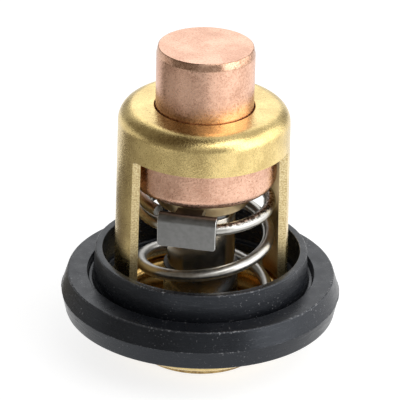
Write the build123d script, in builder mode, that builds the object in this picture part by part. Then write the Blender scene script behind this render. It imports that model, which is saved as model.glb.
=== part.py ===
from build123d import *
from math import asin, ceil, cos, pi, radians, sin, tan
import os

# Engine thermostat. A copper wax element hangs in the dome of a brass cage. Its
# piston pushes a stem down, which opens the valve below the seat cup. A return
# spring between the cup's floor and a strap on the stem closes the valve again.
# A rubber ring round the joined flanges of cage and cup seals the housing.
# Millimetres, +Z up, origin under the middle of the valve, which stands on Z = 0.
# The cage's two windows face -Y and +Y, and its two legs stand on -X and +X.

# ---- clearances ----
running_clearance = 0.05    # round piece sliding in a bore, radial
press_clearance = 0.01      # round piece pressed into another, radial
sheet_clearance = 0.05      # one sheet folded over another
rubber_clearance = 0.05     # rubber moulded on sheet metal
filling_clearance = 0.05    # wax and rubber inside the element
flange_clearance = 0.30     # guide's flange inside the element cup, radial
crimp_clearance = 0.35      # crimped edge round the guide's collar, radial
hole_clearance = 0.20       # element's bulb in the hole of the cage, radial
valve_gap = 0.05            # closed valve below its seat
collar_gap = 0.40           # top of the moving stem below the fixed collar
strap_gap = 0.15            # risers of the strap beside the fixed collar
hook_gap = 0.05             # strap beside and over the spring's top coil
body_room = 0.8             # element's body inside the dome, radial
cup_step = 0.9              # seat cup's wall inside the cage's bore, radial
coil_room = 1.0             # spring inside the seat cup, radial
riser_room = 0.95           # strap's risers inside the spring, radial

# ---- valve ----
valve_lap = 1.3             # valve's rim outside the seat's hole
valve_thickness = 1.55
valve_edge_round = 0.4
valve_rim_width = 3.3
valve_recess_depth = 0.8

# ---- seat cup ----
seat_sheet = 1.0
seat_ledge = 3.4            # cup's wall to the edge of the seat's hole
cup_depth = 7.95            # floor to the underside of the cage's flange
cup_floor_bend = 1.0
cup_mouth_bend = 1.15
hem_bend = 0.3
hem_lap_share = 0.35        # of the flange's flat part that the hem laps over

# ---- cage ----
cage_sheet = 1.25
cage_flange_width = 3.65    # beyond the cage's foot
cage_flange_round = 0.4
cage_foot_radius = 15.55
cage_foot_bend = 0.8
cage_draft = 0.5            # the cage is this much narrower at its top
cage_top_bend = 2.9
cage_height = 35.9          # top of the flange to the top of the dome
leg_half_width = 6.5
window_height = 28.8
window_corner = 0.6

# ---- rubber seal ring, heights from the top of the cage's flange ----
ring_radius = 25.0
ring_bottom_inset = 0.8     # lower face's rim inside the ridge
ring_lip_inset = 1.15       # lip's outer rim inside the ridge
ring_lip_height = 3.5
ring_lip_slant = 0.2        # groove's outer wall, foot to rim
ring_groove_width = 0.8     # at its floor
ring_groove_height = 2.0
ring_collar_slant = 0.4     # collar's outer wall, foot to rim
ring_collar_width = 1.3     # at its rim
ring_collar_height = 8.0
ring_bore_slant = 0.1       # collar's inner wall, foot to rim
ring_foot_width = 1.1
ring_foot_height = 1.5
ring_mouth_land = 0.1       # straight bore below the cup's mouth bend
ring_edge_round = 0.25

# ---- wax element ----
cup_wall = 1.0
bulb_radius = 8.6
bulb_height = 12.35         # shoulder to the tip of the bulb
bulb_edge_width = 0.3
bulb_edge_height = 1.3
bulb_edge_round = 0.15
bulb_root_bend = 0.2
body_height = 13.4
body_shoulder_bend = 2.6
body_crimp_bend = 2.0
collar_drop = 3.45          # collar below the crimped edge
guide_flange_thickness = 2.9
guide_flange_chamfer = 0.9
guide_stem_length = 11.6
diaphragm_thickness = 1.2
plug_radius = 3.2
plug_length = 5.2
washer_thickness = 0.4
piston_radius = 2.0
piston_end_chamfer = 0.3

# ---- moving stem ----
hub_height = 15.45          # valve's upper face to the hub's rim
hub_wall = 0.64             # round the stem tube's socket
hub_rim_chamfer = 0.3
hub_socket_depth = 6.0
hub_spigot_radius = 3.0
hub_rivet_radius = 4.4
hub_rivet_thickness = 0.6
piston_seat_depth = 0.8
stem_radius = 6.05
stem_wall = 2.65
stem_neck_step = 1.75       # neck under the swaged head, below the stem's radius
stem_head_step = 0.55       # swaged head, below the stem's radius
stem_head_thickness = 0.5

# ---- strap that hooks over the spring ----
strap_sheet = 0.9
strap_width = 10.35
strap_neck_width = 4.8
strap_shoulder_depth = 1.75  # full width behind a tab's outer face
strap_bend = 0.5
strap_turn = -22.5          # tabs' direction, degrees from -Y towards +X
strap_rise = 4.167          # underside of the plate to the top of a shoulder
tab_drop = 5.95             # top of a shoulder to a tab's lower edge
tab_corner_round = 0.55

# ---- return spring ----
wire_radius = 1.05
coil_offset = (0.60, -0.24)  # it lies a little off centre in the cup
spring_turns = 4.14
spring_end_angle = -58.0    # upper tip, degrees from -Y towards +X
lower_closed_turns = 1.0    # lower tip to the middle of the change of pitch
lower_change = 0.12         # half the length of that change, in turns
upper_closed_turns = 1.15
upper_change = 0.36
corners_per_turn = 12
corner_share = 0.98         # share of the room at a corner that its bend takes

# ---- heights that follow ----
seat_face = valve_thickness + valve_gap
cup_floor = seat_face + seat_sheet
flange_bottom = cup_floor + cup_depth
flange_top = flange_bottom + cage_sheet
hem_top = flange_top + sheet_clearance + seat_sheet
dome_top = flange_top + cage_height
shoulder = dome_top - cage_sheet
bulb_top = shoulder + bulb_height
crimp_face = shoulder - body_height
guide_flange_face = crimp_face + cup_wall
guide_top = guide_flange_face + guide_flange_thickness
diaphragm_top = guide_top + diaphragm_thickness
plug_bottom = guide_top - plug_length
plug_bore_floor = plug_bottom - washer_thickness
collar_face = crimp_face - collar_drop
guide_stem_end = collar_face - guide_stem_length
stem_top = collar_face - collar_gap
plate_top = stem_top - stem_head_thickness
plate_bottom = plate_top - strap_sheet
shoulder_top = plate_bottom + strap_rise
tab_bottom = shoulder_top - tab_drop
carrying_coil_top = shoulder_top - strap_sheet - hook_gap
hub_top = valve_thickness + hub_height
hub_floor = hub_top - hub_socket_depth
piston_foot = hub_floor - piston_seat_depth

# ---- radii that follow ----
cage_top_radius = cage_foot_radius - cage_draft
cage_flange_radius = cage_foot_radius + cage_flange_width
cup_inner_radius = cage_foot_radius - cage_sheet - cup_step
seat_hole_radius = cup_inner_radius - seat_ledge
valve_radius = seat_hole_radius + valve_lap
valve_recess_radius = valve_radius - valve_rim_width
coil_radius = cup_inner_radius - coil_room - wire_radius
riser_radius = coil_radius - wire_radius - riser_room
collar_radius = riser_radius - strap_sheet - strap_gap
body_radius = cage_top_radius - cage_sheet - body_room
cup_outer_radius = cup_inner_radius + seat_sheet
hem_radius = cage_flange_radius + sheet_clearance + seat_sheet
cage_foot_edge = cage_foot_radius + cage_foot_bend
hem_lap = hem_lap_share * (cage_flange_radius - cage_foot_edge)
hem_inner_radius = cage_flange_radius - hem_lap
ring_foot_inner_radius = cage_foot_edge + rubber_clearance
ring_foot_outer_radius = ring_foot_inner_radius + ring_foot_width
ring_collar_inner_radius = ring_foot_outer_radius + ring_bore_slant
ring_collar_outer_radius = ring_collar_inner_radius + ring_collar_width
ring_groove_inner_radius = ring_collar_outer_radius + ring_collar_slant
ring_groove_outer_radius = ring_groove_inner_radius + ring_groove_width
ring_lip_inner_radius = ring_groove_outer_radius + ring_lip_slant
ring_lip_radius = ring_radius - ring_lip_inset
ring_bottom_radius = ring_radius - ring_bottom_inset
cage_hole_radius = bulb_radius + hole_clearance
body_bore_radius = body_radius - cup_wall
crimp_hole_radius = collar_radius + crimp_clearance
guide_flange_radius = body_bore_radius - flange_clearance
stem_bore_radius = stem_radius - stem_wall
stem_neck_radius = stem_radius - stem_neck_step
stem_head_radius = stem_radius - stem_head_step
socket_radius = stem_radius + press_clearance
hub_radius = socket_radius + hub_wall
guide_stem_radius = stem_bore_radius - running_clearance
guide_bore_radius = piston_radius + running_clearance


def keep(builder, name):
    """Label a finished piece and write it to its own file."""
    builder.part.label = name
    export_step(builder.part, "parts/" + name + ".step")


os.makedirs("parts", exist_ok=True)

# ---- seat cup: drawn cup, its rim hemmed over the cage's flange ----
cup_wall_middle = cup_inner_radius + seat_sheet / 2
hem_middle = hem_radius - seat_sheet / 2
with BuildPart() as seat_cup:
    with BuildSketch(Plane.XZ):
        with BuildLine():
            FilletPolyline(
                (seat_hole_radius, cup_floor - seat_sheet / 2),
                (cup_wall_middle, cup_floor - seat_sheet / 2),
                (cup_wall_middle, flange_bottom - seat_sheet / 2),
                (hem_middle, flange_bottom - seat_sheet / 2),
                (hem_middle, hem_top - seat_sheet / 2),
                (hem_inner_radius, hem_top - seat_sheet / 2),
                radius=[
                    cup_floor_bend + seat_sheet / 2,
                    cup_mouth_bend + seat_sheet / 2,
                    hem_bend + seat_sheet / 2,
                    hem_bend + seat_sheet / 2,
                ],
            )
        trace(line_width=seat_sheet)
    revolve(axis=Axis.Z)
keep(seat_cup, "seat_cup")

# ---- cage: drawn dome with two windows, which leave two legs on a flange ----
cage_top_middle = cage_top_radius - cage_sheet / 2
cage_foot_middle = cage_foot_radius - cage_sheet / 2
with BuildPart() as cage:
    with BuildSketch(Plane.XZ):
        with BuildLine():
            FilletPolyline(
                (cage_hole_radius, dome_top - cage_sheet / 2),
                (cage_top_middle, dome_top - cage_sheet / 2),
                (cage_foot_middle, flange_top - cage_sheet / 2),
                (cage_flange_radius, flange_top - cage_sheet / 2),
                radius=[cage_top_bend - cage_sheet / 2, cage_foot_bend + cage_sheet / 2],
            )
        trace(line_width=cage_sheet)
    revolve(axis=Axis.Z)
    flange_rims = cage.edges().filter_by(GeomType.CIRCLE).sort_by(lambda rim: rim.radius)[-2:]
    fillet(flange_rims, radius=cage_flange_round)
    window_span = cage_flange_radius - leg_half_width
    with BuildSketch(Plane.YZ) as windows:
        with Locations((leg_half_width, flange_top)):
            Rectangle(window_span, window_height, align=(Align.MIN, Align.MIN))
        fillet(windows.vertices().sort_by(Axis.X)[:2].sort_by(Axis.Y)[-1], radius=window_corner)
        mirror(about=Plane.YZ)
    extrude(amount=cage_flange_radius, both=True, mode=Mode.SUBTRACT)
keep(cage, "cage")

# ---- seal ring: rubber moulded round the hemmed flange ----
ring_bottom = flange_bottom - seat_sheet - cup_mouth_bend - ring_mouth_land
lip_top = flange_top + ring_lip_height
groove_floor = flange_top + ring_groove_height
collar_top = flange_top + ring_collar_height
foot_top = flange_top + ring_foot_height
foot_face = flange_top + rubber_clearance
pocket_roof = hem_top + rubber_clearance
pocket_floor = flange_bottom - seat_sheet - rubber_clearance
pocket_radius = hem_radius + rubber_clearance
ring_bore_radius = cup_outer_radius + rubber_clearance
with BuildPart() as seal_ring:
    with BuildSketch(Plane.XZ) as ring_section:
        with BuildLine():
            Polyline(
                (ring_bore_radius, ring_bottom),
                (ring_bottom_radius, ring_bottom),
                (ring_radius, flange_top),
                (ring_lip_radius, lip_top),
                (ring_lip_inner_radius, lip_top),
                (ring_groove_outer_radius, groove_floor),
                (ring_groove_inner_radius, groove_floor),
                (ring_collar_outer_radius, collar_top),
                (ring_collar_inner_radius, collar_top),
                (ring_foot_outer_radius, foot_top),
                (ring_foot_inner_radius, foot_top),
                (ring_foot_inner_radius, foot_face),
                (hem_inner_radius - rubber_clearance, foot_face),
                (hem_inner_radius - rubber_clearance, pocket_roof),
                (pocket_radius, pocket_roof),
                (pocket_radius, pocket_floor),
                (ring_bore_radius, pocket_floor),
                close=True,
            )
        make_face()
        outer_corners = ring_section.vertices().filter_by(
            lambda corner: corner.X > pocket_radius + rubber_clearance or corner.Y > pocket_roof
        )
        fillet(outer_corners, radius=ring_edge_round)
        mouth_corner = ring_section.vertices().sort_by_distance((ring_bore_radius, pocket_floor))[0]
        fillet(mouth_corner, radius=cup_mouth_bend - rubber_clearance)
    revolve(axis=Axis.Z)
keep(seal_ring, "seal_ring")

# ---- element cup: stepped copper cup, crimped in over the guide's flange ----
bulb_middle = bulb_radius - cup_wall / 2
body_middle = body_radius - cup_wall / 2
bulb_edge_foot = bulb_top - bulb_edge_height
with BuildPart() as element_cup:
    with BuildSketch(Plane.XZ) as cup_section:
        with BuildLine():
            FilletPolyline(
                (bulb_middle, bulb_edge_foot),
                (bulb_middle, shoulder - cup_wall / 2),
                (body_middle, shoulder - cup_wall / 2),
                (body_middle, crimp_face + cup_wall / 2),
                (crimp_hole_radius, crimp_face + cup_wall / 2),
                radius=[
                    bulb_root_bend + cup_wall / 2,
                    body_shoulder_bend - cup_wall / 2,
                    body_crimp_bend - cup_wall / 2,
                ],
            )
        trace(line_width=cup_wall)
        with BuildLine():
            Polyline(
                (0, bulb_top - cup_wall),
                (0, bulb_top),
                (bulb_radius - bulb_edge_width, bulb_top),
                (bulb_radius, bulb_edge_foot),
                (bulb_radius - cup_wall, bulb_edge_foot),
                (bulb_radius - cup_wall, bulb_top - cup_wall),
                close=True,
            )
        make_face()
        edge_corners = cup_section.vertices().filter_by(
            lambda corner: corner.X > bulb_radius - cup_wall / 2 - bulb_edge_width
            and corner.Y > bulb_edge_foot - cup_wall / 2
        )
        fillet(edge_corners, radius=bulb_edge_round)
    revolve(axis=Axis.Z)
keep(element_cup, "element_cup")

# ---- wax charge: fills the element cup above the diaphragm ----
wax_body_radius = body_bore_radius - filling_clearance
wax_body_top = shoulder - cup_wall - filling_clearance
wax_bulb_radius = bulb_radius - cup_wall - filling_clearance
wax_bulb_top = bulb_top - cup_wall - filling_clearance
with BuildPart() as wax_charge:
    with BuildSketch(Plane.XZ) as wax_section:
        with BuildLine():
            Polyline(
                (0, diaphragm_top),
                (wax_body_radius, diaphragm_top),
                (wax_body_radius, wax_body_top),
                (wax_bulb_radius, wax_body_top),
                (wax_bulb_radius, wax_bulb_top),
                (0, wax_bulb_top),
                close=True,
            )
        make_face()
        wax_shoulder = wax_section.vertices().sort_by_distance((wax_body_radius, wax_body_top))[0]
        fillet(wax_shoulder, radius=body_shoulder_bend - cup_wall)
    revolve(axis=Axis.Z)
keep(wax_charge, "wax_charge")

# ---- diaphragm: rubber disc between the wax and the guide ----
with BuildPart(Plane.XY.offset(guide_top)) as diaphragm:
    Cylinder(
        body_bore_radius - filling_clearance, diaphragm_thickness,
        align=(Align.CENTER, Align.CENTER, Align.MIN),
    )
keep(diaphragm, "diaphragm")

# ---- guide: turned brass, its flange crimped into the element cup ----
with BuildPart() as guide:
    with BuildSketch(Plane.XZ):
        with BuildLine():
            Polyline(
                (guide_bore_radius, guide_stem_end),
                (guide_stem_radius, guide_stem_end),
                (guide_stem_radius, collar_face),
                (collar_radius, collar_face),
                (collar_radius, guide_flange_face),
                (guide_flange_radius - guide_flange_chamfer, guide_flange_face),
                (guide_flange_radius, guide_flange_face + guide_flange_chamfer),
                (guide_flange_radius, guide_top),
                (plug_radius + filling_clearance, guide_top),
                (plug_radius + filling_clearance, plug_bore_floor),
                (guide_bore_radius, plug_bore_floor),
                close=True,
            )
        make_face()
    revolve(axis=Axis.Z)
keep(guide, "guide")

# ---- piston plug and its washer: they pass the wax's push on to the piston ----
with BuildPart(Plane.XY.offset(plug_bore_floor)) as plug_washer:
    Cylinder(plug_radius, washer_thickness, align=(Align.CENTER, Align.CENTER, Align.MIN))
keep(plug_washer, "plug_washer")

with BuildPart(Plane.XY.offset(plug_bottom)) as piston_plug:
    Cylinder(plug_radius, plug_length, align=(Align.CENTER, Align.CENTER, Align.MIN))
keep(piston_plug, "piston_plug")

# ---- piston: steel pin from the washer down to its seat in the valve hub ----
with BuildPart(Plane.XY.offset(piston_foot)) as piston:
    Cylinder(
        piston_radius, plug_bore_floor - piston_foot,
        align=(Align.CENTER, Align.CENTER, Align.MIN),
    )
    chamfer(piston.edges().filter_by(GeomType.CIRCLE), length=piston_end_chamfer)
keep(piston, "piston")

# ---- valve disc: thick brass disc, dished below for the rivet head ----
with BuildPart() as valve_disc:
    Cylinder(valve_radius, valve_thickness, align=(Align.CENTER, Align.CENTER, Align.MIN))
    fillet(valve_disc.edges().sort_by(Axis.Z)[0], radius=valve_edge_round)
    Cylinder(
        valve_recess_radius, valve_recess_depth,
        align=(Align.CENTER, Align.CENTER, Align.MIN), mode=Mode.SUBTRACT,
    )
    Hole(hub_spigot_radius + press_clearance)
keep(valve_disc, "valve_disc")

# ---- valve hub: steel socket for the stem tube, riveted through the disc ----
rivet_face = valve_recess_depth - hub_rivet_thickness
with BuildPart() as valve_hub:
    with BuildSketch(Plane.XZ):
        with BuildLine():
            Polyline(
                (0, rivet_face),
                (hub_rivet_radius, rivet_face),
                (hub_rivet_radius, valve_recess_depth),
                (hub_spigot_radius, valve_recess_depth),
                (hub_spigot_radius, valve_thickness),
                (hub_radius, valve_thickness),
                (hub_radius, hub_top - hub_rim_chamfer),
                (hub_radius - hub_rim_chamfer, hub_top),
                (socket_radius, hub_top),
                (socket_radius, hub_floor),
                (guide_bore_radius, hub_floor),
                (guide_bore_radius, piston_foot),
                (0, piston_foot),
                close=True,
            )
        make_face()
    revolve(axis=Axis.Z)
keep(valve_hub, "valve_hub")

# ---- stem tube: slides on the guide, its head swaged over the strap's plate ----
with BuildPart() as stem_tube:
    with BuildSketch(Plane.XZ):
        with BuildLine():
            Polyline(
                (stem_bore_radius, hub_floor),
                (stem_radius, hub_floor),
                (stem_radius, plate_bottom),
                (stem_neck_radius, plate_bottom),
                (stem_neck_radius, plate_top),
                (stem_head_radius, plate_top),
                (stem_head_radius, stem_top),
                (stem_bore_radius, stem_top),
                close=True,
            )
        make_face()
    revolve(axis=Axis.Z)
keep(stem_tube, "stem_tube")

# ---- return spring: round wire, closed at both ends, open in the middle ----
closed_pitch = 2 * wire_radius
pitch_changes = (
    (lower_closed_turns, lower_change, 1),
    (spring_turns - upper_closed_turns, upper_change, -1),
)


def open_turns(turn):
    """Turns wound at the open pitch, up to this many turns above the lower tip."""
    turns_open = 0
    for middle, half, sign in pitch_changes:
        through = min(max(turn - middle + half, 0), 2 * half)
        beyond = max(turn - middle - half, 0)
        turns_open += sign * (through**2 / (4 * half) + beyond)
    return turns_open


# the open pitch brings the top coil up to the strap's two shoulders
back_turn = spring_turns - (spring_end_angle + 180 - strap_turn) / 360
side_turn = asin(strap_width / 2 / coil_radius) / (2 * pi)
carrying_turn = back_turn + side_turn
carrying_rise = carrying_coil_top - 2 * wire_radius - cup_floor
added_pitch = (carrying_rise - closed_pitch * carrying_turn) / open_turns(carrying_turn)


def wire_height(turn):
    """Height of the wire's centre, this many turns above its lower tip."""
    return cup_floor + wire_radius + closed_pitch * turn + added_pitch * open_turns(turn)


def wire_point(turn, radius):
    """Point at this turn, this far from the spring's own axis."""
    angle = radians(spring_end_angle + 360 * (turn - spring_turns))
    along_x = coil_offset[0] + radius * sin(angle)
    along_y = coil_offset[1] - radius * cos(angle)
    return Vector(along_x, along_y, wire_height(turn))


def bend_radius(before, corner, after):
    """Radius of the arc at a corner that leaves room for its neighbours' arcs."""
    half_turn = radians((corner - before).get_angle(after - corner)) / 2
    half_run = min((corner - before).length, (after - corner).length) / 2
    return corner_share * half_run / tan(half_turn)


# straight runs round the coil, joined by arcs that touch the coil's true radius
corner_count = ceil(spring_turns * corners_per_turn)
corner_step = spring_turns / corner_count
corner_radius = coil_radius / cos(pi * corner_step)
corners = [wire_point((index + 0.5) * corner_step, corner_radius) for index in range(corner_count)]
bends = [bend_radius(*trio) for trio in zip(corners, corners[1:], corners[2:])]
with BuildPart() as return_spring:
    with BuildLine() as wire:
        FilletPolyline(
            wire_point(0, coil_radius), *corners, wire_point(spring_turns, coil_radius),
            radius=[bends[0], *bends, bends[-1]],
        )
    with BuildSketch(Plane(origin=wire.line @ 0, z_dir=wire.line % 0)):
        Circle(wire_radius)
    sweep(path=wire.line)
keep(return_spring, "return_spring")

# ---- spring retainer: one strap, bent over the spring's top coil at both ends ----
tab_middle = coil_radius + wire_radius + hook_gap + strap_sheet / 2
riser_middle = riser_radius - strap_sheet / 2
strap_half = [
    (tab_middle, tab_bottom),
    (tab_middle, shoulder_top - strap_sheet / 2),
    (riser_middle, shoulder_top - strap_sheet / 2),
    (riser_middle, plate_bottom + strap_sheet / 2),
]
strap_other_half = [(-along, height) for along, height in reversed(strap_half)]
strap_along = Vector(sin(radians(strap_turn)), -cos(radians(strap_turn)), 0)
strap_side_plane = Plane(origin=(0, 0, 0), x_dir=strap_along, z_dir=strap_along.cross(Vector(0, 0, 1)))
strap_floor_plane = Plane(origin=(0, 0, plate_bottom), x_dir=strap_along, z_dir=(0, 0, 1))
neck_length = 2 * (tab_middle + strap_sheet / 2 - strap_shoulder_depth)
with BuildPart() as spring_retainer:
    with BuildSketch(strap_side_plane):
        with BuildLine():
            FilletPolyline(*strap_half, *strap_other_half, radius=strap_bend + strap_sheet / 2)
        trace(line_width=strap_sheet)
    extrude(amount=strap_width / 2, both=True)
    tab_ends = spring_retainer.faces().filter_by(Axis.Z).group_by(Axis.Z)[0].edges()
    fillet(tab_ends.filter_by(lambda edge: edge.length < 2 * strap_sheet), radius=tab_corner_round)
    with BuildSketch(strap_floor_plane):
        Rectangle(neck_length, strap_width)
        Rectangle(neck_length, strap_neck_width, mode=Mode.SUBTRACT)
        Circle(stem_radius, mode=Mode.SUBTRACT)
    extrude(amount=shoulder_top - plate_bottom, mode=Mode.SUBTRACT)
    with Locations((0, 0, plate_bottom)):
        Hole(stem_neck_radius + press_clearance)
keep(spring_retainer, "spring_retainer")

section = pi * wire_radius**2
print("bend radii", round(min(bends), 2), "to", round(max(bends), 2))
print("wire volume over section", round(return_spring.part.volume / section, 2))
print("wire length", round(sum(edge.length for edge in wire.line.edges()), 2))
print("open pitch", round(closed_pitch + added_pitch, 4), "tip height", round(wire_height(spring_turns), 3))
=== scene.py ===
# %% [markdown]
# # An engine thermostat
# The part is a wax thermostat. A copper cup full of wax hangs in a brass cage, a
# steel spring stands below it round a stem, and a rubber ring seals the flange.
# Nearly every piece is turned, drawn or moulded round one axis, so nearly every
# mesh here is a section spun round Z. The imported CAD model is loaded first,
# because it fixes each size and place.

# %% Load the frame
from math import cos, hypot, pi, radians, sin, tan

import bmesh
import bpy
from mathutils import Matrix, Vector, noise


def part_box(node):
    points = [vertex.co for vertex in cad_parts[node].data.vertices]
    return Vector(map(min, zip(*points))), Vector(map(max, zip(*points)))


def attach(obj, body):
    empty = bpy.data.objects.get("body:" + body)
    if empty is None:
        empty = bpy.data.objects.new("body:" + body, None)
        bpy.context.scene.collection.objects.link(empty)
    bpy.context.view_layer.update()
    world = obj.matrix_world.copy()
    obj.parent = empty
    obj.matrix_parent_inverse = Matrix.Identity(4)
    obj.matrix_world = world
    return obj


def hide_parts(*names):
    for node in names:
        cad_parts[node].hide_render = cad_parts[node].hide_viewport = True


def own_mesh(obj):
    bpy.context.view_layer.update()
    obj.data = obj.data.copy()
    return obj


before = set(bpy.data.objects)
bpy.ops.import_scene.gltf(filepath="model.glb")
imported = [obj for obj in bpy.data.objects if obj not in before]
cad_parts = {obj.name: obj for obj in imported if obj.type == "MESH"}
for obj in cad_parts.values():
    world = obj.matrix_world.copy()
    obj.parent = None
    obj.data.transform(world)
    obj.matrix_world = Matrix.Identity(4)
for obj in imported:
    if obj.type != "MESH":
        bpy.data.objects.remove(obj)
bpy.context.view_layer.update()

mm = 0.001
hair = 0.01              # in mm, like every size below
weld_distance = 0.001 * mm
scene = bpy.context.scene

# %% [markdown]
# ## Heights from the frame
# A drawing of such a part is in millimetres, and so is this script. Blender works
# in metres, and the helpers that make a mesh do the conversion. The boxes of the
# CAD nodes give the heights where pieces meet, and nothing has to be fitted later.


# %% Heights where pieces meet
def foot_of(node):
    """Height of a CAD node's lowest point, in millimetres."""
    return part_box(node)[0].z / mm


def top_of(node):
    """Height of a CAD node's highest point, in millimetres."""
    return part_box(node)[1].z / mm


cage_sheet = 1.25
cup_sheet = 1.0
dome_top = top_of("cage")
shoulder = dome_top - cage_sheet
flange_bottom = foot_of("cage")
flange_top = flange_bottom + cage_sheet
seat_face = foot_of("seat_cup")
cup_floor = seat_face + cup_sheet
bulb_top = top_of("element_cup")
crimp_face = foot_of("element_cup")
print("dome top", round(dome_top, 2), "cup floor", round(cup_floor, 2))

# %% [markdown]
# ## Spinning a section
# A lathe makes a round piece from one outline, and `bmesh.ops.spin` does the same.
# It takes the outline's vertices and edges in the XZ plane and turns them round Z.
# The outline has sharp corners only. They are rounded afterwards with `bevel`,
# which keeps each outline down to the few points that a drawing would give.

# %% Spin an outline round the Z axis
spin_steps = 192


def spun(outline, closed=True, steps=spin_steps):
    """A bmesh of the outline, given as (radius, height) corners in mm, turned once round Z."""
    bm = bmesh.new()
    corners = [bm.verts.new((radius * mm, 0, height * mm)) for radius, height in outline]
    for first, second in zip(corners, corners[1:]):
        bm.edges.new((first, second))
    if closed:
        bm.edges.new((corners[-1], corners[0]))
    bmesh.ops.spin(
        bm, geom=bm.verts[:] + bm.edges[:], cent=(0, 0, 0), axis=(0, 0, 1),
        angle=2 * pi, steps=steps, use_merge=True,
    )
    bmesh.ops.remove_doubles(bm, verts=bm.verts, dist=weld_distance)
    bmesh.ops.recalc_face_normals(bm, faces=bm.faces)
    return bm


# %% Round the corners of a spun piece
def on_ring(vert, radius, height, near=0.004):
    """True for a vertex on the ring of this radius and height."""
    out = hypot(vert.co.x, vert.co.y) / mm - radius
    return abs(out) < near and abs(vert.co.z / mm - height) < near


def soften(bm, corners, segments=6, material_index=0):
    """Bevel the ring of edges at each corner, given as (radius, height, width)."""
    for radius, height, width in corners:
        ring = [
            edge for edge in bm.edges
            if all(on_ring(vert, radius, height) for vert in edge.verts)
        ]
        rounded = bmesh.ops.bevel(
            bm, geom=ring, offset=width * mm, offset_type="OFFSET", segments=segments,
            profile=0.5, affect="EDGES", material=-1,
        )
        for face in rounded["faces"]:
            face.material_index = material_index


# %% Give some faces the piece's second finish
def refinish(bm, chosen):
    """Use the second finish where a test of a face's middle radius and height is true."""
    for face in bm.faces:
        middle = face.calc_center_median() / mm
        if chosen(hypot(middle.x, middle.y), middle.z):
            face.material_index = 1


# %% [markdown]
# ## From mesh to piece
# A finished piece gets smooth shading with its sharp edges kept, and weighted
# normals, so that flat faces stay flat beside their rounded rims. It gets its
# materials and the body that carries it, and the CAD node that it stands for is hidden.

# %% Make an object from a bmesh
sharp_angle = radians(38)


def mesh_object(name, bm, materials):
    """Put a bmesh in the scene as an object and free it."""
    mesh = bpy.data.meshes.new(name)
    bm.to_mesh(mesh)
    bm.free()
    for material in materials:
        mesh.materials.append(material)
    made = bpy.data.objects.new(name, mesh)
    scene.collection.objects.link(made)
    return made


def weigh_normals(piece):
    """Let the large faces decide the normals, except across sharp edges."""
    weighted = piece.modifiers.new("weighted normals", "WEIGHTED_NORMAL")
    weighted.keep_sharp = True


def make_piece(name, bm, materials, body, node):
    """Turn a bmesh into a finished piece and hand it to the frame."""
    piece = mesh_object(name, bm, materials)
    mesh = piece.data
    mesh.polygons.foreach_set("use_smooth", [True] * len(mesh.polygons))
    mesh.set_sharp_from_angle(angle=sharp_angle)
    weigh_normals(piece)
    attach(piece, body)
    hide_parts(node)
    print(name, len(mesh.polygons), "faces")
    return piece


# %% [markdown]
# ## Building blocks for the finishes
# Metal is told by its gloss, and real sheet is never even: it has grain from the
# rolling mill, cloudy tarnish and pinholes. Noise in object coordinates gives all
# three at their true size, whatever the piece. The helpers below each add a few
# nodes, so that a finish reads as a short list of steps. Noise crowds round the
# middle of its range, so what it drives is spread from `noise_range`, not 0 to 1.


# %% Material helpers
noise_range = (0.35, 0.65)


def new_material(name):
    """A material with its nodes, its links and its Principled shader."""
    material = bpy.data.materials.new(name)
    material.use_nodes = True
    nodes = material.node_tree.nodes
    return material, nodes, material.node_tree.links, nodes["Principled BSDF"]


def object_coordinates(nodes, links, scale=(1, 1, 1)):
    """Object coordinates through a Mapping node, which can stretch a pattern."""
    coordinates = nodes.new("ShaderNodeTexCoord")
    mapping = nodes.new("ShaderNodeMapping")
    mapping.inputs["Scale"].default_value = scale
    links.new(coordinates.outputs["Object"], mapping.inputs["Vector"])
    return mapping.outputs["Vector"]


def noise_value(nodes, links, vector, size, detail=3.0, rough=0.55):
    """A noise texture's grey value, with features of this size in mm."""
    texture = nodes.new("ShaderNodeTexNoise")
    texture.inputs["Scale"].default_value = 1 / (size * mm)
    texture.inputs["Detail"].default_value = detail
    texture.inputs["Roughness"].default_value = rough
    links.new(vector, texture.inputs["Vector"])
    return texture.outputs["Fac"]


wave_bands = 20          # a Wave texture of scale 1 has this many bands in 2 pi units


def band_value(nodes, links, vector, pitch, distortion):
    """Lines that repeat up the Z axis at this pitch in mm."""
    texture = nodes.new("ShaderNodeTexWave")
    texture.bands_direction = "Z"
    texture.inputs["Scale"].default_value = 2 * pi / (wave_bands * pitch * mm)
    texture.inputs["Distortion"].default_value = distortion
    texture.inputs["Detail"].default_value = 3.0
    texture.inputs["Detail Scale"].default_value = 2.0
    links.new(vector, texture.inputs["Vector"])
    return texture.outputs["Fac"]


def ramp(nodes, links, value, stops):
    """Map a value to colours, with (position, colour) stops."""
    node = nodes.new("ShaderNodeValToRGB")
    elements = node.color_ramp.elements
    while len(elements) < len(stops):
        elements.new(0.5)
    for element, (position, colour) in zip(elements, stops):
        element.position = position
        element.color = (*colour, 1)
    links.new(value, node.inputs["Fac"])
    return node.outputs["Color"]


def spread(nodes, links, value, low, high, from_low, from_high):
    """Stretch a value from one range to another, clamped at both ends."""
    node = nodes.new("ShaderNodeMapRange")
    node.inputs["From Min"].default_value = from_low
    node.inputs["From Max"].default_value = from_high
    node.inputs["To Min"].default_value = low
    node.inputs["To Max"].default_value = high
    links.new(value, node.inputs["Value"])
    return node.outputs["Result"]


def combined(nodes, links, operation, first, second):
    """Two values through one Math node."""
    node = nodes.new("ShaderNodeMath")
    node.operation = operation
    for socket, value in zip(node.inputs, (first, second)):
        if isinstance(value, bpy.types.NodeSocket):
            links.new(value, socket)
        else:
            socket.default_value = value
    return node.outputs["Value"]


def haze_stops(dark, light):
    """Ramp stops that take a soft noise from a dark tint to a light one."""
    return (0.36, dark), (0.64, light)


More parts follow.
